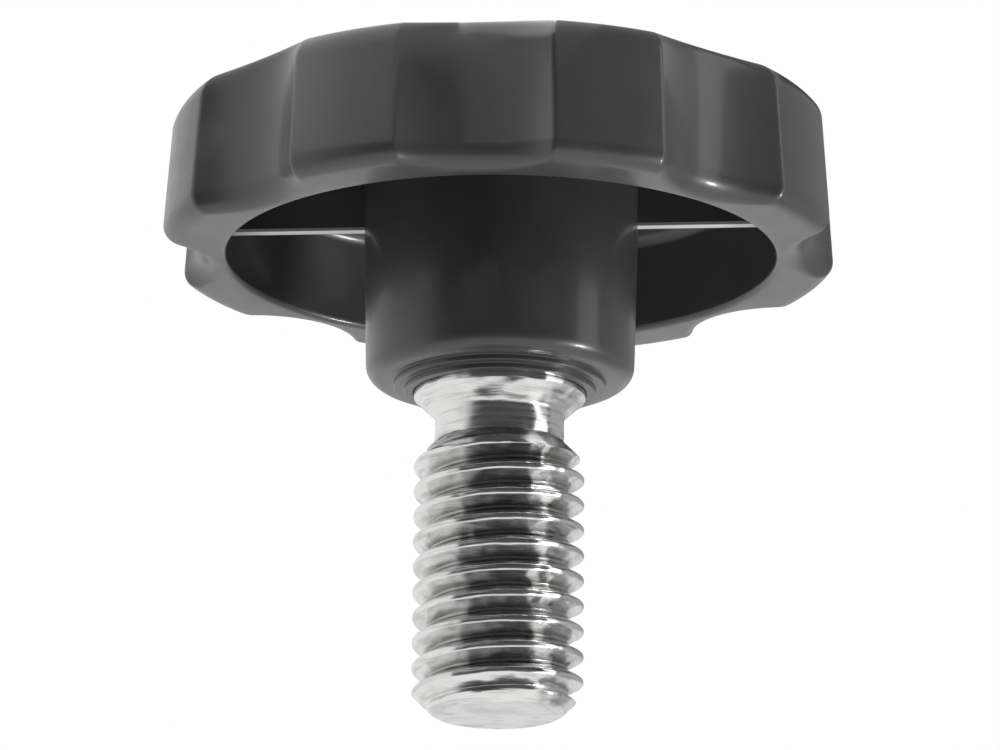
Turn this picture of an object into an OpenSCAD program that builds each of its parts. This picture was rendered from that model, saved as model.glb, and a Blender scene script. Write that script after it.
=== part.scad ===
// Threaded stud knob: a fluted grip head, hollow underneath, moulded round a steel stud.
// It stands on its crown. Origin: middle of the crown face, with the stud up along +Z.

/* [Head] */
// Diameter over the lobes at the rim
head_d = 40; // [36:0.5:52]
// Height from the crown face to the rim
head_h = 8.7; // [7:0.1:14]
// How far the lobes lean in from the rim to the crown
lobe_lean = 0.6; // [0:0.05:1]
// Radius of the rounded edge of the crown on the lobes
crown_edge_r = 1.7; // [0.8:0.1:2]
// Radius of the rounded outer edge of the rim on the lobes
rim_edge_r = 1.2; // [0.4:0.1:1.6]

/* [Flutes] */
// Number of flutes
flute_n = 8; // [6:1:10]
// Width of a flute, as an angle about the axis
flute_angle = 26; // [16:1:28]
// Depth of a flute below the lobes at the rim
flute_depth = 2.05; // [1.4:0.05:2.6]
// Radius of the rounded edge of the crown in a flute
flute_crown_r = 0.55; // [0.3:0.05:1.2]
// Radius of the rounded outer edge of the rim in a flute
flute_rim_r = 1.4; // [0.4:0.1:1.4]
// Radius of the corner between a flute and a lobe
corner_r = 0.5; // [0.2:0.05:0.8]

/* [Hollow] */
// Thickness of the rim's wall behind a flute
rim_wall = 1.85; // [1.8:0.05:4]
// Thickness of the crown over the hollow
crown_t = 2.8; // [1.5:0.1:4.5]
// Draft of the hollow's wall, in degrees
hollow_draft = 1.5; // [0:0.25:3]
// Radius between the hollow's floor and its walls
hollow_floor_r = 1; // [0.4:0.1:1.5]
// Radius of the rounded inner edge of the rim
rim_lip_r = 0.35; // [0.1:0.05:0.35]
// Number of ribs from the boss to the rim
rib_n = 2; // [2:1:6]
// Thickness of a rib
rib_t = 1; // [0.6:0.1:2]
// How far a rib's edge lies below the rim
rib_recess = 2; // [0.5:0.1:3]

/* [Boss] */
// How far the boss stands out past the rim
boss_rise = 7.4; // [4:0.2:14]
// Wall of the boss round the stud, at the rim's height
boss_wall = 3; // [2.6:0.1:5]
// Draft of the boss, in degrees
boss_draft = 1.4; // [0:0.1:2]
// Radius of the boss's rounded end
boss_edge_r = 1; // [0.3:0.1:1.1]
// Number of low steps round the stud on the boss's end
step_n = 2; // [1:1:3]
// Width of a step
step_w = 0.6; // [0.3:0.05:0.6]
// Height of a step
step_h = 0.34; // [0.2:0.02:0.8]

/* [Stud] */
// Outside diameter of the thread
thread_d = 9.9; // [7.8:0.1:14]
// How far the stud reaches past the boss
stud_l = 19.9; // [12:0.1:60]
// How far the collar's side stands out past the thread
collar_over = 0.05; // [0:0.05:0.3]
// How far the collar stands up from the boss's end
collar_h = 0.34; // [0.1:0.02:1]
// Height of the cone from the collar down to the neck
neck_cone_h = 0.92; // [0.4:0.02:1.5]
// How far the neck lies below the bottom of the thread's groove
neck_under = 0.28; // [0:0.02:0.6]
// Length of the straight part of the neck
neck_l = 1.75; // [0.5:0.05:4]
// Height of the bevel where the thread starts after the neck
lead_h = 1.2; // [0.4:0.1:2]
// Height of the bevel at the tip
tip_h = 1.3; // [0.5:0.1:2]
// Depth of the bevel at the tip
tip_depth = 1.3; // [0.5:0.1:2]

/* [Thread] */
// Pitch of the right-hand thread
thread_pitch = 1.5; // [1:0.25:2.5]
// Depth of the groove
thread_depth = 0.92; // [0.5:0.02:1.1]
// Width of the flat crest between two turns
crest_w = 0.19; // [0.1:0.01:0.4]
// Width of the flat bottom of the groove
root_w = 0.37; // [0.1:0.01:0.5]
// Direction in which the groove starts, in degrees about the axis
thread_start = 67; // [0:1:360]

/* [Anchor] */
// How far the anchor's flats stand out past the thread
anchor_over = 0.3; // [0:0.05:0.6]
// Length of the hexagonal anchor inside the boss
anchor_l = 5.5; // [3:0.5:8]
// Thickness of the moulding under the anchor, the crown's included
anchor_floor = 4.3; // [3:0.1:5]
// Width of the holding groove above the anchor
groove_w = 1.5; // [0.5:0.1:3]
// Depth of the holding groove
groove_depth = 0.9; // [0.3:0.1:1.5]
// Gap left all round the moulded-in stud
mould_gap = 0.02; // [0.01:0.01:0.1]

/* [Hidden] */
$fn = 96;

head_r = head_d / 2;
floor_r = head_r - flute_depth;
hollow_r = floor_r - rim_wall;
thread_r = thread_d / 2;
collar_r = thread_r + collar_over;
boss_r = collar_r + boss_wall;
boss_face = head_h + boss_rise;
boss_top = boss_face + step_n * step_h;
collar_top = boss_top + collar_h;
stud_top = boss_face + stud_l;
anchor_r = (thread_r + anchor_over) / cos(30);
anchor_top = anchor_floor + anchor_l;
// How many straight steps the rounded edges, the arcs and a turn of the thread are drawn in
crown_steps = 6;
rim_steps = 5;
lobe_steps = 3;
corner_steps = 4;
flute_steps = 10;
fillet_steps = 5;
lip_steps = 3;
turn_steps = 24;
// The least bow that is left in a flute's arc, where the crown's edge runs into it
least_bow = 0.15;
// How far the groove's cutter reaches past the thread's outside
cut_over = 0.3;
// How far before the bevel at the thread's start the cutter begins
cut_start = 0.5;

// How far an edge of radius r has drawn in at a distance d from its face
function edge_inset(d, r) = d >= r ? 0 : r - sqrt(max(0, r * r - (r - d) * (r - d)));

// Distance from the axis to the face of a lobe at height z
function lobe_at(z) = head_r - lobe_lean * (head_h - z) / head_h
    - edge_inset(z, crown_edge_r) - edge_inset(head_h - z, rim_edge_r);

// Distance from the axis to the floor of a flute at height z
function floor_at(z) = floor_r
    - edge_inset(z, flute_crown_r) - edge_inset(head_h - z, flute_rim_r);

// Points of an arc, without its last one
function arc(x, y, r, a0, a1, n) =
    [for (i = [0 : n - 1]) let(a = a0 + (a1 - a0) * i / n) [x + r * cos(a), y + r * sin(a)]];

// One flute centred on +X with half a lobe on either side: the lobe is an arc about the
// axis, the flute an arc of radius fr about [fc, 0], and the corner an arc that touches both
function flute_outline(lobe, deep) =
    let(half = lobe * sin(flute_angle / 2),
        bow = max(least_bow, lobe * cos(flute_angle / 2) - deep),
        fr = (half * half + bow * bow) / (2 * bow),
        fc = lobe * cos(flute_angle / 2) - bow + fr,
        k = lobe - corner_r,
        a = acos((k * k + fc * fc - (fr + corner_r) * (fr + corner_r)) / (2 * k * fc)),
        kx = k * cos(a),
        ky = k * sin(a),
        b = atan2(ky, kx - fc))
    concat(
        arc(0, 0, lobe, -180 / flute_n, -a, lobe_steps),
        arc(kx, -ky, corner_r, -a, 180 - b, corner_steps),
        arc(fc, 0, fr, 360 - b, b, flute_steps),
        arc(kx, ky, corner_r, b - 180, a, corner_steps),
        arc(0, 0, lobe, a, 180 / flute_n, lobe_steps));

// The head's outline at height z, as points in space; the first flute faces -Y
function head_ring(z) = let(one = flute_outline(lobe_at(z), floor_at(z)))
    [for (i = [0 : flute_n - 1]) let(t = 360 * i / flute_n - 90) for (p = one)
        [p[0] * cos(t) - p[1] * sin(t), p[0] * sin(t) + p[1] * cos(t), z]];

// Heights of the rings: close together over the two rounded edges, with a plain wall between
crown_band = max(crown_edge_r, flute_crown_r);
rim_band = max(rim_edge_r, flute_rim_r);
head_levels = concat(
    [for (i = [0 : crown_steps]) crown_band * (1 - cos(90 * i / crown_steps))],
    [for (i = [0 : rim_steps]) head_h - rim_band * (1 - sin(90 * i / rim_steps))]);

// The fluted head as a solid block: rings of points joined level by level, and both ends
// closed from their middles
module head_block() {
    n = len(head_ring(0));
    m = len(head_levels);
    top = (m - 1) * n;
    polyhedron(
        points = concat([for (z = head_levels) each head_ring(z)], [[0, 0, 0], [0, 0, head_h]]),
        faces = [for (i = [0 : n - 1]) let(i1 = (i + 1) % n) each concat(
            [[m * n, i, i1], [m * n + 1, top + i1, top + i]],
            [for (j = [0 : n : top - n]) each [[j + i, j + n + i, j + n + i1],
                                               [j + i, j + n + i1, j + i1]]])],
        convexity = 6);
}

// The round hollow under the rim, with a drafted wall, a rounded floor and a rounded mouth
module hollow() {
    wall_in = (head_h - crown_t) * tan(hollow_draft);
    foot_r = hollow_r - wall_in;
    rotate_extrude()
        polygon(concat(
            [[0, crown_t]],
            arc(foot_r - hollow_floor_r, crown_t + hollow_floor_r, hollow_floor_r, -90, 0,
                fillet_steps),
            [[foot_r, crown_t + hollow_floor_r]],
            arc(hollow_r + rim_lip_r, head_h - rim_lip_r, rim_lip_r, 180, 90, lip_steps),
            [[hollow_r + rim_lip_r, head_h],
             [hollow_r + rim_lip_r, head_h + rim_lip_r],
             [0, head_h + rim_lip_r]]));
}

// The boss: a drafted post with a rounded foot and end, and low steps round the stud
module boss() {
    slope = tan(boss_draft);
    foot_z = crown_t + hollow_floor_r;
    foot_r = boss_r + (head_h - foot_z) * slope;
    end_r = boss_r - (boss_rise - boss_edge_r) * slope;
    rotate_extrude()
        polygon(concat(
            [[0, crown_t / 2], [foot_r + hollow_floor_r, crown_t / 2]],
            arc(foot_r + hollow_floor_r, foot_z, hollow_floor_r, 270, 180, fillet_steps),
            [[foot_r, foot_z]],
            arc(end_r - boss_edge_r, boss_face - boss_edge_r, boss_edge_r, 0, 90, fillet_steps),
            [[end_r - boss_edge_r, boss_face]],
            [for (i = [0 : step_n - 1]) let(r = collar_r + (step_n - i) * step_w) each
                [[r, boss_face + i * step_h], [r, boss_face + (i + 1) * step_h]]],
            [[0, boss_top]]));
}

// The ribs that tie the boss to the rim, rooted in both and in the crown
module ribs() {
    reach = (hollow_r + floor_r) / 2;
    for (i = [0 : rib_n - 1])
        rotate([0, 0, 360 * i / rib_n])
            translate([boss_r / 2, -rib_t / 2, crown_t / 2])
                cube([reach - boss_r / 2, rib_t, head_h - rib_recess - crown_t / 2]);
}

// The part of the stud inside the boss: a hexagon, a holding groove and a round shank
module anchor(gap) {
    translate([0, 0, anchor_floor - gap])
        cylinder(r = anchor_r + gap / cos(30), h = anchor_l + 2 * gap, $fn = 6);
    cylinder_from(anchor_floor, anchor_top + groove_w + gap, collar_r - groove_depth + gap);
    cylinder_from(anchor_top + groove_w - gap, boss_top, collar_r + gap);
}

// A cylinder of radius r on the axis, from height z0 to z1
module cylinder_from(z0, z1, r) {
    translate([0, 0, z0]) cylinder(r = r, h = z1 - z0);
}

module head() {
    color([0.25, 0.25, 0.26])
        difference() {
            union() {
                difference() {
                    head_block();
                    hollow();
                }
                boss();
                ribs();
            }
            anchor(mould_gap);
            cylinder_from(boss_face, boss_top + step_h, collar_r + mould_gap);
        }
}

// The cutter for the thread: the groove's section, a trapezium that widens outwards, carried
// up a right-hand helix from z0 to z1
module groove(z0, z1) {
    n = ceil((z1 - z0) / thread_pitch * turn_steps);
    root_r = thread_r - thread_depth;
    mouth_r = thread_r + cut_over;
    half_root = root_w / 2;
    slope = ((thread_pitch - crest_w) / 2 - half_root) / thread_depth;
    half_mouth = half_root + slope * (mouth_r - root_r);
    section = [[root_r, -half_root], [mouth_r, -half_mouth],
               [mouth_r, half_mouth], [root_r, half_root]];
    polyhedron(
        points = [for (i = [0 : n])
            let(a = thread_start + 360 * i / turn_steps, z = z0 + thread_pitch * i / turn_steps)
            for (p = section) [p[0] * cos(a), p[0] * sin(a), z + p[1]]],
        faces = concat(
            [[3, 2, 1], [3, 1, 0], [4 * n, 4 * n + 1, 4 * n + 2], [4 * n, 4 * n + 2, 4 * n + 3]],
            [for (i = [0 : n - 1]) for (k = [0 : 3]) let(k1 = (k + 1) % 4) each
                [[4 * i + k, 4 * i + k1, 4 * i + 4 + k1],
                 [4 * i + k, 4 * i + 4 + k1, 4 * i + 4 + k]]]),
        convexity = 20);
}

// The steel stud: the anchor inside the boss, then the collar, the neck and the thread
module stud() {
    neck_r = thread_r - thread_depth - neck_under;
    neck_z = collar_top + neck_cone_h;
    lead_z = neck_z + neck_l;
    color([0.8, 0.81, 0.82]) {
        anchor(0);
        difference() {
            rotate_extrude()
                polygon([
                    [0, boss_face],
                    [collar_r, boss_face],
                    [collar_r, collar_top],
                    [neck_r, neck_z],
                    [neck_r, lead_z],
                    [thread_r, lead_z + lead_h],
                    [thread_r, stud_top - tip_h],
                    [thread_r - tip_depth, stud_top],
                    [0, stud_top]]);
            groove(lead_z - cut_start, stud_top + thread_pitch);
        }
    }
}

head();
stud();
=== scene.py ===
"""Threaded stud knob: a fluted head moulded round a steel stud, standing on its crown."""

import bmesh
import bpy
import numpy as np
from mathutils import Matrix, Vector


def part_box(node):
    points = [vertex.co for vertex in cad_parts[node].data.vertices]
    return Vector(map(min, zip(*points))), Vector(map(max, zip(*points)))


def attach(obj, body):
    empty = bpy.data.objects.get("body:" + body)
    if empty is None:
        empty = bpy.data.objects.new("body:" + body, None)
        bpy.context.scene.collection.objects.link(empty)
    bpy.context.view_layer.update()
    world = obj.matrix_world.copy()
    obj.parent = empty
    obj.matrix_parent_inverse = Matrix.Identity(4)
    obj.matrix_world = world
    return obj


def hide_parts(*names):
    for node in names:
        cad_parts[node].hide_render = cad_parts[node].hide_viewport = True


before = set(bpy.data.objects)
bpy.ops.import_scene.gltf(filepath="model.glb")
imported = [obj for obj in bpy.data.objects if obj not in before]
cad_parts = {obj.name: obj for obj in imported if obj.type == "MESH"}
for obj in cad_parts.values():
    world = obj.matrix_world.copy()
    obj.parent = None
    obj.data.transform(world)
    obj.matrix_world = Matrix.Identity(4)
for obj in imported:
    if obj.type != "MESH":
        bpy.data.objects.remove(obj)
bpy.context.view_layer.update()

# ---------------------------------------------------------------- sizes, in millimetres
MM = 0.001

# Head: the heights of the boss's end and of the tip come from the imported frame
boss_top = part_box("head")[1][2] / MM
stud_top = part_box("stud")[1][2] / MM
anchor_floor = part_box("stud")[0][2] / MM
head_r = 20.0
head_h = 8.7
lobe_lean = 0.6
crown_edge_r = 1.7
rim_edge_r = 1.2

# Flutes
flute_n = 8
flute_angle = np.radians(26)
flute_depth = 2.05
flute_crown_r = 0.55
flute_rim_r = 1.4
corner_r = 0.5
least_bow = 0.15

# Hollow and ribs
rim_wall = 1.85
crown_t = 2.8
hollow_draft = np.radians(1.5)
hollow_floor_r = 1.0
rim_lip_r = 0.35
rib_t = 1.0
rib_recess = 2.0
rib_edge = 0.12
rib_draft = np.radians(1.0)
rib_foot_out = 0.04
rib_edge_in = 0.03

# Boss
boss_wall = 3.0
boss_draft = np.radians(1.4)
boss_edge_r = 1.0
step_n = 2
step_w = 0.6
step_h = 0.34
step_edge = 0.1

# Stud; the height of the first crest is the one at the view's right
thread_r = 4.95
thread_pitch = 1.5
first_crest = 21.99
thread_depth = 0.92
flank_angle = np.radians(30)
crest_round = 0.24
root_round = 0.14
collar_r = 5.0
collar_h = 0.34
collar_edge_turn = np.radians(54)
neck_depth = 1.2
neck_cone_h = 1.1
neck_l = 1.57
lead_h = 1.2
tip_h = 1.3
tip_depth = 1.3
tip_round = 1.2
soft_edge = 0.08
anchor_over = 0.3
anchor_l = 5.5
groove_w = 1.5
groove_depth = 0.9
mould_gap = 0.02

floor_r = head_r - flute_depth
hollow_r = floor_r - rim_wall
boss_r = collar_r + boss_wall
boss_face = boss_top - step_n * step_h
collar_top = boss_top + collar_h
rib_top = head_h - rib_recess
anchor_top = anchor_floor + anchor_l
neck_r = thread_r - neck_depth
neck_z = collar_top + neck_cone_h
lead_z = neck_z + neck_l
root_r = thread_r - thread_depth
end_r = thread_r - tip_depth - tip_round * np.tan(np.arctan2(tip_h, tip_depth) / 2)

# The camera stands this far round from the middle of the first flute
CAMERA_TURN = np.radians(4.72)


# ---------------------------------------------------------------- shared mesh code
# Points this close are one, and a face this thin has no area, in millimetres
SAME_POINT, NO_AREA = 0.0005, 0.0002


def arc(x, y, r, start, end, steps):
    """Points (x + r cos a, y + r sin a) as a goes from start to end, without the last."""
    a = start + (end - start) * np.arange(steps) / steps
    return np.stack([x + r * np.cos(a), y + r * np.sin(a)], axis=-1)


def line(start, end, steps):
    """Points from start to end at equal distances, without the last."""
    t = (np.arange(steps) / steps)[:, None]
    return np.asarray(start) * (1 - t) + np.asarray(end) * t


def turned(profile, angle):
    """Carry a profile of radius and height round the axis: (r cos a, r sin a, z)."""
    r, z = profile[:, :1], profile[:, 1:]
    return np.stack([r * np.cos(angle), r * np.sin(angle),
                     np.broadcast_to(z, (len(profile), len(angle)))], axis=-1)


def closed_piece(name, grid, material, sharp):
    """Turn a grid of points (rows from pole to pole, columns round the axis) into a piece,
    smooth but for the edges that turn by more than so many degrees.

    The last column repeats the first, or the same helix one turn on, so that merging the
    points that coincide closes the seam and the poles.
    """
    rows, columns = grid.shape[:2]
    index = np.arange(rows * columns).reshape(rows, columns)
    quads = np.stack([index[:-1, :-1], index[:-1, 1:], index[1:, 1:], index[1:, :-1]], axis=-1)
    mesh = bpy.data.meshes.new(name)
    mesh.from_pydata((grid.reshape(-1, 3) * MM).tolist(), [], quads.reshape(-1, 4).tolist())
    piece = bpy.data.objects.new(name, mesh)
    bpy.context.scene.collection.objects.link(piece)
    merge_points(mesh)
    mesh.polygons.foreach_set("use_smooth", np.ones(len(mesh.polygons), dtype=bool))
    mesh.set_sharp_from_angle(angle=np.radians(sharp))
    mesh.materials.append(material)
    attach(piece, "root")
    return piece


def merge_points(mesh):
    """Merge the points that coincide and drop the faces that this leaves without an area."""
    work = bmesh.new()
    work.from_mesh(mesh)
    bmesh.ops.remove_doubles(work, verts=work.verts, dist=SAME_POINT * MM)
    bmesh.ops.dissolve_degenerate(work, edges=work.edges, dist=NO_AREA * MM)
    work.to_mesh(mesh)
    work.free()


# ---------------------------------------------------------------- head
LOBE_STEPS, CORNER_STEPS, FLUTE_STEPS = 8, 8, 24
PERIOD = 2 * LOBE_STEPS + 2 * CORNER_STEPS + FLUTE_STEPS
EDGE_ROWS, WALL_ROWS = 14, 5


def edge_inset(depth, r):
    """How far an edge of radius r has drawn in at this depth from its face."""
    left = np.maximum(r - depth, 0)
    return r - np.sqrt(np.maximum(r * r - left * left, 0))


def lobe_at(z):
    """Distance from the axis to the lobes at height z: a lean and two rounded edges."""
    lean = lobe_lean * (head_h - z) / head_h
    return head_r - lean - edge_inset(z, crown_edge_r) - edge_inset(head_h - z, rim_edge_r)


def floor_at(z):
    """Distance from the axis to the floor of a flute at height z."""
    return floor_r - edge_inset(z, flute_crown_r) - edge_inset(head_h - z, flute_rim_r)


def swept(start, end, steps):
    """Angles from start to end for every row, without the last one."""
    return start + (end - start) * np.arange(steps) / steps


def fluted_rings(z):
    """Outline of the head at each height: lobes are arcs about the axis, a flute is an arc
    about a point outside, and a small arc that touches both rounds each corner."""
    lobe, deep = lobe_at(z)[:, None], floor_at(z)[:, None]
    half = lobe * np.sin(flute_angle / 2)
    bow = np.maximum(lobe * np.cos(flute_angle / 2) - deep, least_bow)
    flute_r = (half ** 2 + bow ** 2) / (2 * bow)
    flute_x = lobe * np.cos(flute_angle / 2) - bow + flute_r
    k = lobe - corner_r
    a = np.arccos((k ** 2 + flute_x ** 2 - (flute_r + corner_r) ** 2) / (2 * k * flute_x))
    kx, ky = k * np.cos(a), k * np.sin(a)
    b = np.arctan2(ky, kx - flute_x)
    share = np.pi / flute_n
    sections = [
        (0, 0, lobe, swept(-share, -a, LOBE_STEPS)),
        (kx, -ky, corner_r, swept(-a, np.pi - b, CORNER_STEPS)),
        (flute_x, 0, flute_r, swept(2 * np.pi - b, b, FLUTE_STEPS)),
        (kx, ky, corner_r, swept(b - np.pi, a, CORNER_STEPS)),
        (0, 0, lobe, swept(a, share, LOBE_STEPS))]
    x = np.concatenate([cx + r * np.cos(angle) for cx, cy, r, angle in sections], axis=1)
    y = np.concatenate([cy + r * np.sin(angle) for cx, cy, r, angle in sections], axis=1)
    turn = (2 * np.pi * np.arange(flute_n) / flute_n - np.pi / 2)[None, :, None]
    x, y = x[:, None, :], y[:, None, :]
    ring_x = (x * np.cos(turn) - y * np.sin(turn)).reshape(len(z), -1)
    ring_y = (x * np.sin(turn) + y * np.cos(turn)).reshape(len(z), -1)
    return np.stack([ring_x, ring_y, np.broadcast_to(z[:, None], ring_x.shape)], axis=-1)


def outside_rows():
    """Crown face, crown edge, wall, rim edge and the flat land under the rim."""
    quarter = np.pi / 2
    crown_z = crown_edge_r * (1 - np.cos(quarter * np.arange(EDGE_ROWS) / EDGE_ROWS))
    wall_z = np.linspace(crown_edge_r, head_h - flute_rim_r, WALL_ROWS + 1)[:-1]
    rim_z = head_h - flute_rim_r * (1 - np.sin(quarter * np.arange(EDGE_ROWS + 1) / EDGE_ROWS))
    rings = fluted_rings(np.concatenate([crown_z, wall_z, rim_z]))
    crown = rings[:1] * np.array([0, 0.25, 0.5, 0.75, 0.95])[:, None, None]
    mouth = rings[-1].copy()
    mouth[:, :2] *= (hollow_r + rim_lip_r) / np.linalg.norm(mouth[:, :2], axis=1)[:, None]
    share = np.array([0.25, 0.5, 0.75])[:, None, None]
    land = rings[-1:] * (1 - share) + mouth[None] * share
    return np.concatenate([crown, rings, land])


def inside_profile():
    """Radius and height from the mouth of the hollow over the boss to the hex pocket."""
    foot = crown_t + hollow_floor_r
    wall_foot = hollow_r - (head_h - crown_t) * np.tan(hollow_draft)
    wall_at_rib = hollow_r - (head_h - rib_top) * np.tan(hollow_draft)
    boss_foot = boss_r + (head_h - foot) * np.tan(boss_draft)
    boss_at_rib = boss_r + (head_h - rib_top) * np.tan(boss_draft)
    boss_end = boss_r - (boss_face - boss_edge_r - head_h) * np.tan(boss_draft)
    half_turn, quarter = np.pi, np.pi / 2
    bore = collar_r + mould_gap
    groove = collar_r - groove_depth + mould_gap
    parts = [
        arc(hollow_r + rim_lip_r, head_h - rim_lip_r, rim_lip_r, quarter, half_turn, 6),
        line((hollow_r, head_h - rim_lip_r), (wall_at_rib, rib_top), 5),
        line((wall_at_rib, rib_top), (wall_foot, foot), 5),
        arc(wall_foot - hollow_floor_r, foot, hollow_floor_r, 0, -quarter, 7),
        line((wall_foot - hollow_floor_r, crown_t), (boss_foot + hollow_floor_r, crown_t), 6),
        arc(boss_foot + hollow_floor_r, foot, hollow_floor_r, 3 * quarter, half_turn, 7),
        line((boss_foot, foot), (boss_at_rib, rib_top), 5),
        line((boss_at_rib, rib_top), (boss_end, boss_face - boss_edge_r), 10),
        arc(boss_end - boss_edge_r, boss_face - boss_edge_r, boss_edge_r, 0, quarter, 10)]
    for step in range(step_n):
        outer = collar_r + (step_n - step) * step_w
        level = boss_face + step * step_h
        parts += [
            arc(outer + step_edge, level + step_edge, step_edge, 3 * quarter, half_turn, 3),
            arc(outer - step_edge, level + step_h - step_edge, step_edge, 0, quarter, 4)]
    parts += [
        line((collar_r + step_edge, boss_top), (bore, boss_top - step_edge), 2),
        line((bore, boss_top - step_edge), (bore, anchor_top + groove_w - mould_gap), 4),
        line((bore, anchor_top + groove_w - mould_gap),
             (groove, anchor_top + groove_w - mould_gap), 2),
        line((groove, anchor_top + groove_w - mould_gap), (groove, anchor_top + mould_gap), 2)]
    return np.concatenate(parts)


def hexagon_rows(levels, grow, angle):
    """Rings of the anchor's hex, each as a share of its size and a height: the radius is the
    flat's distance / cos(angle off the flat's middle)."""
    flat = thread_r + anchor_over + grow
    off = (angle % (np.pi / 3)) - np.pi / 6
    radius = flat / np.cos(off)
    rings = [[share * radius * np.cos(angle), share * radius * np.sin(angle), z + 0 * angle]
             for share, z in levels]
    return np.stack(rings).transpose(0, 2, 1)


def weave_ribs(rows, profile, angle):
    """Lead the seven columns at the middle of the flutes on the X axis over a rib.

    Between the rib's two roots the inner five run level along its top, the outer two keep to
    the hollow's own profile in the plane of the rib's side, and outside the roots all of them
    drift back to where they were.
    """
    r, z = profile[:, 0], profile[:, 1]
    in_rib = np.flatnonzero((z <= rib_top + 1e-6) & (r > boss_r))
    first, last = in_rib[0], in_rib[-1]
    along = np.clip((np.arange(len(r)) - first) / (last - first), 0, 1)
    near = np.clip(1 - (z - rib_top) / rib_recess, 0, 1)
    half = rib_t / 2
    side = half + rib_foot_out + np.maximum(rib_top - z, 0) * np.tan(rib_draft)
    offsets = [0 * r, half - rib_edge + 0 * r, half - rib_edge_in + 0 * r, side]
    middle = LOBE_STEPS + CORNER_STEPS + FLUTE_STEPS // 2
    for flute in (flute_n // 4, 3 * flute_n // 4):
        facing = 1 if flute == flute_n // 4 else -1
        for k in range(-3, 4):
            column = flute * PERIOD + middle + k
            own = r * np.sin(angle[column]) * facing
            wanted = np.sign(k) * offsets[abs(k)]
            y = own * (1 - near) + wanted * near
            height = z.copy()
            x = np.sqrt(r ** 2 - y ** 2)
            if abs(k) < 3:
                top = rib_top - (rib_edge if abs(k) == 2 else 0)
                span = slice(first, last + 1)
                x[span] = x[first] * (1 - along[span]) + x[last] * along[span]
                height[span] = top
                y[span] = wanted[span] if abs(k) < 2 else np.sign(k) * half
            rows[:, column, 0] = facing * x
            rows[:, column, 1] = facing * y
            rows[:, column, 2] = height


def knob_head(material):
    """The whole head as one closed skin, from the middle of its crown to its hex pocket."""
    outside = outside_rows()
    angle = np.arctan2(outside[-1, :, 1], outside[-1, :, 0])
    profile = inside_profile()
    inside = turned(profile, angle)
    weave_ribs(inside, profile, angle)
    high, low = anchor_top + mould_gap, anchor_floor - mould_gap
    pocket = hexagon_rows([(1, high), (1, (high + low) / 2), (1, low), (0, low)], mould_gap, angle)
    grid = np.concatenate([outside, inside, pocket])
    grid = np.concatenate([grid, grid[:, :1]], axis=1)
    return closed_piece("knob_head", grid, material, 32)


# ---------------------------------------------------------------- stud
STUD_COLUMNS, ROWS_A_TURN = 168, 16

# The helical grid begins so many turns below the first crest, which is more than reaches the
# neck, and is held this far above the neck's cone
SPARE_TURNS, START_ABOVE_NECK = 8, 0.1

# The arc at the tip takes over from the bevel this share of its radius below the end face
TIP_ARC_SHARE = 0.3


def blank_radius(z):
    """Radius of the turned blank over the height: neck, lead bevel, shank and tip bevel, with
    an arc that touches the tip's bevel and its end face."""
    r = np.interp(z, [neck_z, lead_z, lead_z + lead_h, stud_top - tip_h, stud_top],
                  [neck_r, neck_r, thread_r, thread_r, thread_r - tip_depth])
    drop = np.clip(tip_round - (stud_top - z), -tip_round, tip_round)
    rounded = np.minimum(r, end_r + np.sqrt(tip_round ** 2 - drop ** 2))
    return np.where(z > stud_top - TIP_ARC_SHARE * tip_round, rounded, r)


def thread_profile():
    """One pitch of the thread: place along the axis and radius, from crest to crest. Both the
    rolled crest and the root are arcs that the straight flanks touch."""
    theta = np.linspace(0, np.pi / 2 - flank_angle, 7)
    place = np.concatenate([crest_round * np.sin(theta),
                            thread_pitch / 2 - root_round * np.sin(theta[::-1])])
    radius = np.concatenate([thread_r - crest_round * (1 - np.cos(theta)),
                             root_r + root_round * (1 - np.cos(theta[::-1]))])
    place = np.concatenate([place, thread_pitch - place[-2:0:-1]])
    radius = np.concatenate([radius, radius[-2:0:-1]])
    return place, radius


def threaded_rows():
    """The thread as one helical grid: height = row + pitch * turns, held between the neck and
    the end face, and radius = the smaller of the blank's and the thread profile's. Rows that
    lie wholly past an end are dropped, but for one at each end."""
    place, radius = thread_profile()
    fine = np.linspace(0, thread_pitch, ROWS_A_TURN + 1)[:-1]
    rows_place = np.unique(np.round(np.concatenate([fine, place]), 4))
    start = neck_z + START_ABOVE_NECK
    turns = int(np.ceil((stud_top - start) / thread_pitch)) + 2 + SPARE_TURNS
    crest = first_crest - SPARE_TURNS * thread_pitch
    level = (rows_place[None, :] + thread_pitch * np.arange(turns)[:, None]).ravel()
    turn = np.linspace(0, 1, STUD_COLUMNS + 1)
    z = crest - thread_pitch + level[:, None] + thread_pitch * turn[None, :]
    z = np.clip(z, start, stud_top)
    phase = (z - crest - thread_pitch * turn[None, :]) % thread_pitch
    cut = np.interp(phase, np.append(place, thread_pitch), np.append(radius, radius[0]))
    r = np.minimum(blank_radius(z), cut)
    angle = 2 * np.pi * turn - np.pi - CAMERA_TURN
    keep = (z > start).any(axis=1) & (z < stud_top).any(axis=1)
    first, last = np.flatnonzero(keep)[[0, -1]]
    rows = slice(max(first - 1, 0), last + 2)
    return np.stack([r * np.cos(angle), r * np.sin(angle), z], axis=-1)[rows], angle


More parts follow.
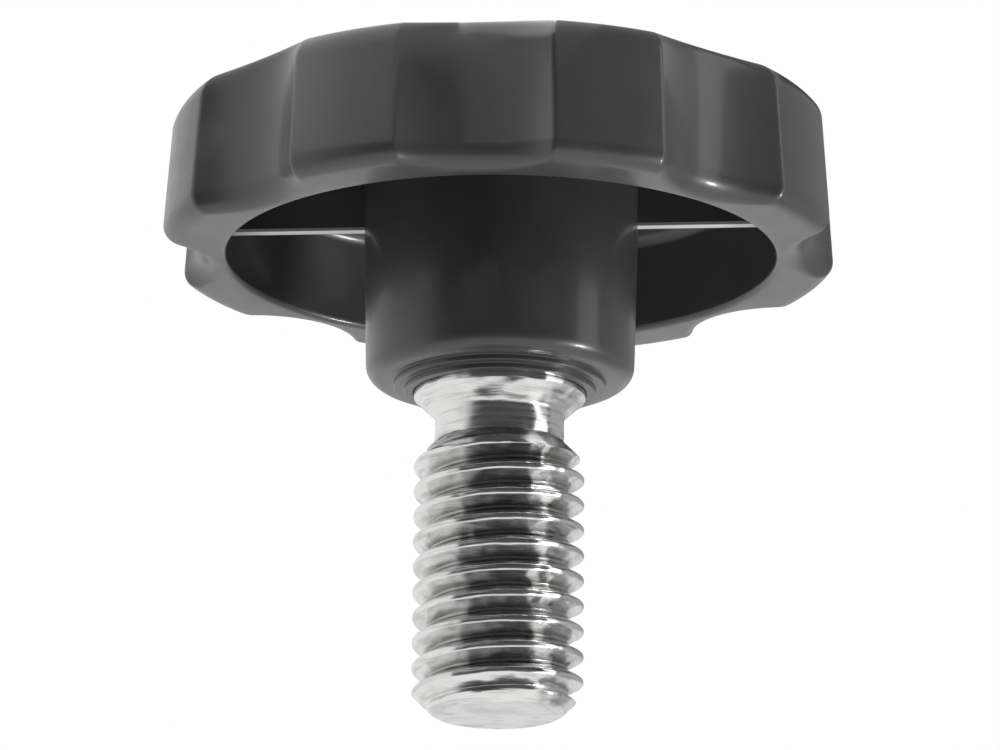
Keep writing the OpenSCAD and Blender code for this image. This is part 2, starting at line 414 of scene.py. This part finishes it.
def threaded_stud(material):
    """The whole stud as one closed skin: hex anchor, groove, collar, neck, thread, tip."""
    thread, angle = threaded_rows()
    groove_r = collar_r - groove_depth
    start = thread[0, 0, 2]
    cone_foot = (neck_r + soft_edge, neck_z - soft_edge)
    shank = np.concatenate([
        line((groove_r, anchor_top), (groove_r, anchor_top + groove_w), 2),
        line((groove_r, anchor_top + groove_w), (collar_r, anchor_top + groove_w), 2),
        line((collar_r, anchor_top + groove_w), (collar_r, collar_top - soft_edge), 4),
        arc(collar_r - soft_edge, collar_top - soft_edge, soft_edge, 0, collar_edge_turn, 3),
        line((collar_r - soft_edge, collar_top), cone_foot, 5),
        line(cone_foot, (neck_r, start), 2),
        [(neck_r, start)]])
    anchor = hexagon_rows([(0, anchor_floor), (1, anchor_floor), (1, anchor_top)], 0, angle)
    end = np.concatenate([line((end_r, stud_top), (0, stud_top), 6), [(0, stud_top)]])
    grid = np.concatenate([anchor, turned(shank, angle), thread[:-1], turned(end, angle)])
    return closed_piece("threaded_stud", grid, material, 35)


# ---------------------------------------------------------------- materials
# A Mix node's colour sockets, by number because they share their names with the others
MIX_A, MIX_B, MIX_RESULT = 6, 7, 2


def colour(code):
    """An sRGB hex code as linear RGBA."""
    srgb = np.array([int(code[i:i + 2], 16) for i in (1, 3, 5)]) / 255
    linear = np.where(srgb <= 0.04045, srgb / 12.92, ((srgb + 0.055) / 1.055) ** 2.4)
    return (*linear.tolist(), 1.0)


def add(tree, kind, inputs=None, **settings):
    """Add a node to the tree with its settings, its values and the links into it."""
    node = tree.nodes.new(kind)
    for name, value in settings.items():
        setattr(node, name, value)
    for name, value in (inputs or {}).items():
        if isinstance(value, bpy.types.NodeSocket):
            tree.links.new(value, node.inputs[name])
        else:
            node.inputs[name].default_value = value
    return node


def new_material(name):
    """An empty node material and its tree."""
    material = bpy.data.materials.new(name)
    material.use_nodes = True
    material.node_tree.nodes.clear()
    return material, material.node_tree


def moulded_phenolic():
    """Black phenolic resin, compression moulded: a satin body, slightly clouded, under a thin
    glossy skin, with the ripple of the mould's polish, which is drawn coarser than it is so
    that it shows. A strip along the ribs' tops is painted pale: a painted highlight."""
    material, tree = new_material("moulded_phenolic")
    place = add(tree, "ShaderNodeTexCoord").outputs["Object"]
    cloud = add(tree, "ShaderNodeTexNoise", {
        "Vector": place, "Scale": 1 / (2.6 * MM), "Detail": 3.0, "Roughness": 0.55})
    grain = add(tree, "ShaderNodeTexNoise", {
        "Vector": place, "Scale": 1 / (0.35 * MM), "Detail": 2.0, "Roughness": 0.5})
    tone = add(tree, "ShaderNodeMix", {
        "Factor": cloud.outputs["Fac"], MIX_A: colour("#3e3e3d"), MIX_B: colour("#484847")},
        data_type="RGBA")
    spot = add(tree, "ShaderNodeSeparateXYZ", {"Vector": place})
    # A strip along the ribs' tops is painted pale (#d6d7d7): a painted highlight.
    painted_highlight = 1.0
    strip = (("X", 0, hollow_r), ("Y", 0, 0.3 * rib_t), ("Z", rib_top, 0.1))
    for axis, middle, reach in strip:
        within = add(tree, "ShaderNodeMath", {
            0: spot.outputs[axis], 1: middle * MM, 2: reach * MM}, operation="COMPARE")
        painted_highlight = add(tree, "ShaderNodeMath", {0: within.outputs[0], 1: painted_highlight},
                     operation="MULTIPLY").outputs[0]
    # Mix the painted highlight on the ribs' tops into the tone.
    tone = add(tree, "ShaderNodeMix", {
        "Factor": painted_highlight, MIX_A: tone.outputs[MIX_RESULT], MIX_B: colour("#d6d7d7")},
        data_type="RGBA")
    satin = add(tree, "ShaderNodeMapRange", {
        "Value": cloud.outputs["Fac"], "From Min": 0.3, "From Max": 0.7,
        "To Min": 0.3, "To Max": 0.4})
    ripple = add(tree, "ShaderNodeBump", {
        "Height": grain.outputs["Fac"], "Strength": 0.25, "Distance": 0.02 * MM})
    shader = add(tree, "ShaderNodeBsdfPrincipled", {
        "Base Color": tone.outputs[MIX_RESULT], "Roughness": satin.outputs["Result"],
        "Normal": ripple.outputs["Normal"], "IOR": 1.5,
        "Coat Weight": 0.3, "Coat Roughness": 0.12})
    add(tree, "ShaderNodeOutputMaterial", {"Surface": shader.outputs["BSDF"]})
    return material


def zinc_plated_steel():
    """Turned and thread-rolled steel with a bright zinc plate: clean, slightly uneven, with
    faint marks round the axis, which are drawn coarser than they are so that they show, and
    painted shade in the thread's roots."""
    material, tree = new_material("zinc_plated_steel")
    place = add(tree, "ShaderNodeTexCoord").outputs["Object"]
    stretch = add(tree, "ShaderNodeMapping", {"Vector": place, "Scale": (1.0, 1.0, 14.0)})
    marks = add(tree, "ShaderNodeTexNoise", {
        "Vector": stretch.outputs["Vector"], "Scale": 1 / (3.0 * MM), "Detail": 3.0,
        "Roughness": 0.55})
    uneven = add(tree, "ShaderNodeTexNoise", {
        "Vector": place, "Scale": 1 / (1.7 * MM), "Detail": 1.0, "Roughness": 0.5})
    gloss = add(tree, "ShaderNodeMapRange", {
        "Value": marks.outputs["Fac"], "From Min": 0.3, "From Max": 0.7,
        "To Min": 0.15, "To Max": 0.3})
    tone = add(tree, "ShaderNodeValToRGB", {"Fac": marks.outputs["Fac"]})
    tone.color_ramp.elements[0].position = 0.36
    tone.color_ramp.elements[0].color = colour("#cccccb")
    tone.color_ramp.elements[1].position = 0.52
    tone.color_ramp.elements[1].color = colour("#e7e7e6")
    # Painted shade in the thread's roots: along the threaded length the colour darkens towards
    # #858584 as the radius nears the root, with ragged edges from the marks.
    flat = add(tree, "ShaderNodeVectorMath", {0: place, 1: (1, 1, 0)}, operation="MULTIPLY")
    radius = add(tree, "ShaderNodeVectorMath", {0: flat.outputs[0]}, operation="LENGTH")
    ragged = add(tree, "ShaderNodeMath", {
        0: marks.outputs["Fac"], 1: 0.5 * MM, 2: radius.outputs["Value"]},
        operation="MULTIPLY_ADD")
    depth = add(tree, "ShaderNodeMapRange", {
        "Value": ragged.outputs[0], "From Min": (root_r + 0.25) * MM,
        "From Max": (root_r + 0.65) * MM, "To Min": 0.75, "To Max": 0.0})
    level = add(tree, "ShaderNodeSeparateXYZ", {"Vector": place}).outputs["Z"]
    low, high = lead_z, stud_top - tip_h
    threaded = add(tree, "ShaderNodeMath", {
        0: level, 1: (low + high) / 2 * MM, 2: (high - low) / 2 * MM}, operation="COMPARE")
    painted_root_shade = add(tree, "ShaderNodeMath", {
        0: depth.outputs["Result"], 1: threaded.outputs[0]}, operation="MULTIPLY")
    # Mix the painted root shade into the tone.
    tone = add(tree, "ShaderNodeMix", {
        "Factor": painted_root_shade.outputs[0], MIX_A: tone.outputs["Color"], MIX_B: colour("#858584")},
        data_type="RGBA")
    wavy = add(tree, "ShaderNodeBump", {
        "Height": uneven.outputs["Fac"], "Strength": 1.0, "Distance": 0.25 * MM})
    dents = add(tree, "ShaderNodeBump", {
        "Height": marks.outputs["Fac"], "Strength": 0.3, "Distance": 0.05 * MM,
        "Normal": wavy.outputs["Normal"]})
    shader = add(tree, "ShaderNodeBsdfPrincipled", {
        "Base Color": tone.outputs[MIX_RESULT], "Roughness": gloss.outputs["Result"],
        "Normal": dents.outputs["Normal"], "Metallic": 1.0})
    add(tree, "ShaderNodeOutputMaterial", {"Surface": shader.outputs["BSDF"]})
    return material


def white_sweep():
    """White paper, evenly lit, so that it shows no grain or shadow of its own."""
    material, tree = new_material("white_sweep")
    glow = add(tree, "ShaderNodeEmission", {"Color": colour("#ffffff"), "Strength": 1.0})
    add(tree, "ShaderNodeOutputMaterial", {"Surface": glow.outputs["Emission"]})
    return material


# ---------------------------------------------------------------- camera, floor and light
# The camera looks at a point on the axis, CAMERA_AIM above the crown, and hangs upside down, so
# that the stud points down in the view; lengths are in millimetres
CAMERA_RISE = np.radians(16.14)
CAMERA_DISTANCE = 320.34
CAMERA_ROLL = np.radians(0.5)
CAMERA_AIM = 15.603
LENS, SENSOR = 197.6, 36.0

# The floor's half width, and how little it lies below the crown, so that the two never meet
FLOOR_HALF, FLOOR_DROP = 2000, 0.05

# Light from all round, each as degrees right of the camera, degrees up, the angles of full
# and of no light from its middle, and brightness; the brightest counts, and ROOM elsewhere
ROOM = 0.08
TENT = [
    (-118, 0, 46, 74, 0.9),
    (-70, -60, 5, 50, 0.45),
    (132, 0, 30, 42, 0.4),
    (180, 20, 16, 44, 0.8),
    (0, 90, 33, 62, 0.95),
]

# Lights beside the boss, each as its name, degrees right of the camera, degrees up, width,
# height and brightness; they stand at one distance and face one height, in millimetres
SIDE_DISTANCE, SIDE_AIM = 400, 15
SIDE_LIGHTS = [
    ("right_strip", 79, -8, 150, 600, 1.5),
    ("right_lamp", 80, 33, 60, 60, 60),
]

# Lit white cards on the floor that shine on the head alone, each as its name, its reach to the
# view's right and towards the camera, in millimetres from the axis, and brightness
CARDS = [
    ("left_card", (-27, -2), (14, 55), 0.6),
    ("right_card", (5.5, 40), (10, 55), 0.3),
    ("near_card", (-2.5, 3), (16.5, 20), 1.9),
    ("gap_card", (3, 5.5), (17, 26), 0.5),
]


def bearing(right, up):
    """The direction to a place round the knob: degrees to the view's right of the camera, and
    degrees above the floor."""
    turn = -np.pi / 2 - CAMERA_TURN - np.radians(right)
    rise = np.radians(up)
    return Vector((np.cos(rise) * np.cos(turn), np.cos(rise) * np.sin(turn), np.sin(rise)))


def set_camera():
    """Place the camera, rolled by half a turn and a little more."""
    aim = Vector((0, 0, CAMERA_AIM * MM))
    towards = bearing(0, np.degrees(CAMERA_RISE))
    side = (-towards).cross(Vector((0, 0, -1))).normalized()
    over = side.cross(-towards)
    c, s = np.cos(CAMERA_ROLL), np.sin(CAMERA_ROLL)
    axes = Matrix((side * c + over * s, over * c - side * s, towards)).transposed()
    data = bpy.data.cameras.new("camera")
    data.lens, data.sensor_width, data.clip_start = LENS, SENSOR, 0.01
    camera = bpy.data.objects.new("camera", data)
    camera.matrix_world = Matrix.Translation(aim + towards * CAMERA_DISTANCE * MM) @ axes.to_4x4()
    bpy.context.scene.collection.objects.link(camera)
    bpy.context.scene.camera = camera


def set_floor():
    """A wide white floor under the crown, seen by the camera alone."""
    half, z = FLOOR_HALF * MM, -FLOOR_DROP * MM
    mesh = bpy.data.meshes.new("floor")
    mesh.from_pydata([(-half, -half, z), (half, -half, z), (half, half, z), (-half, half, z)],
                     [], [(0, 1, 2, 3)])
    mesh.materials.append(white_sweep())
    floor = bpy.data.objects.new("floor", mesh)
    for ray in ("diffuse", "glossy", "transmission", "shadow"):
        setattr(floor, "visible_" + ray, False)
    bpy.context.scene.collection.objects.link(floor)


def soft_box(name, middle, facing, side, width, height, brightness):
    """A rectangular soft light, its width along the given side; its brightness is what a
    mirror sees of it."""
    data = bpy.data.lights.new(name, "AREA")
    data.shape = "RECTANGLE"
    data.size, data.size_y = width * MM, height * MM
    data.energy = brightness * np.pi * data.size * data.size_y
    box = bpy.data.objects.new(name, data)
    box.matrix_world = (Matrix.Translation(middle * MM)
                        @ Matrix((side, side.cross(facing), -facing)).transposed().to_4x4())
    bpy.context.scene.collection.objects.link(box)
    return box


def glowing_card(name, right, front, brightness, piece):
    """A lit white card on the floor that shines on one piece alone."""
    across, ahead = bearing(90, 0), bearing(0, 0)
    middle = across * (right[0] + right[1]) / 2 + ahead * (front[0] + front[1]) / 2
    card = soft_box(name, middle, Vector((0, 0, 1)), across, right[1] - right[0],
                    front[1] - front[0], brightness)
    card.light_linking.receiver_collection = bpy.data.collections.new(name + "_shines_on")
    card.light_linking.receiver_collection.objects.link(piece)


def side_light(name, right, up, width, height, brightness):
    """A soft light that faces the boss from one side."""
    towards, side = bearing(right, up), bearing(right + 90, 0)
    middle = towards * SIDE_DISTANCE + Vector((0, 0, SIDE_AIM))
    soft_box(name, middle, -towards, side, width, height, brightness)


def glow(tree, direction, right, up, full, none, brightness):
    """A soft round light in the sky: bright within one angle of its middle, and faded to
    nothing at another."""
    cosine = add(tree, "ShaderNodeVectorMath", {0: direction, 1: bearing(right, up)},
                 operation="DOT_PRODUCT")
    return add(tree, "ShaderNodeMapRange", {
        "Value": cosine.outputs["Value"], "From Min": np.cos(np.radians(none)),
        "From Max": np.cos(np.radians(full)), "To Min": 0.0, "To Max": brightness},
        interpolation_type="SMOOTHSTEP").outputs["Result"]


def set_world():
    """White to the camera. To everything else a dim room with soft lights at the left, the
    right, the back and above, as in a tent of white cloth that is open towards the camera."""
    world = bpy.data.worlds.new("studio")
    bpy.context.scene.world = world
    world.use_nodes = True
    tree = world.node_tree
    tree.nodes.clear()
    direction = add(tree, "ShaderNodeTexCoord").outputs["Generated"]
    total = add(tree, "ShaderNodeValue").outputs[0]
    total.default_value = ROOM
    for light in TENT:
        total = add(tree, "ShaderNodeMath", {0: total, 1: glow(tree, direction, *light)},
                    operation="MAXIMUM").outputs[0]
    room = add(tree, "ShaderNodeBackground", {"Color": colour("#ffffff"), "Strength": total})
    white = add(tree, "ShaderNodeBackground", {"Color": colour("#ffffff"), "Strength": 1.0})
    seen = add(tree, "ShaderNodeLightPath").outputs["Is Camera Ray"]
    mix = add(tree, "ShaderNodeMixShader", {
        0: seen, 1: room.outputs["Background"], 2: white.outputs["Background"]})
    add(tree, "ShaderNodeOutputWorld", {"Surface": mix.outputs["Shader"]})


head = knob_head(moulded_phenolic())
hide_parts("head")
stud = threaded_stud(zinc_plated_steel())
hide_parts("stud")

set_camera()
set_floor()
set_world()
for light in SIDE_LIGHTS:
    side_light(*light)
for card in CARDS:
    glowing_card(*card, head)

scene = bpy.context.scene
scene.view_settings.view_transform = "Standard"
scene.view_settings.look = "None"
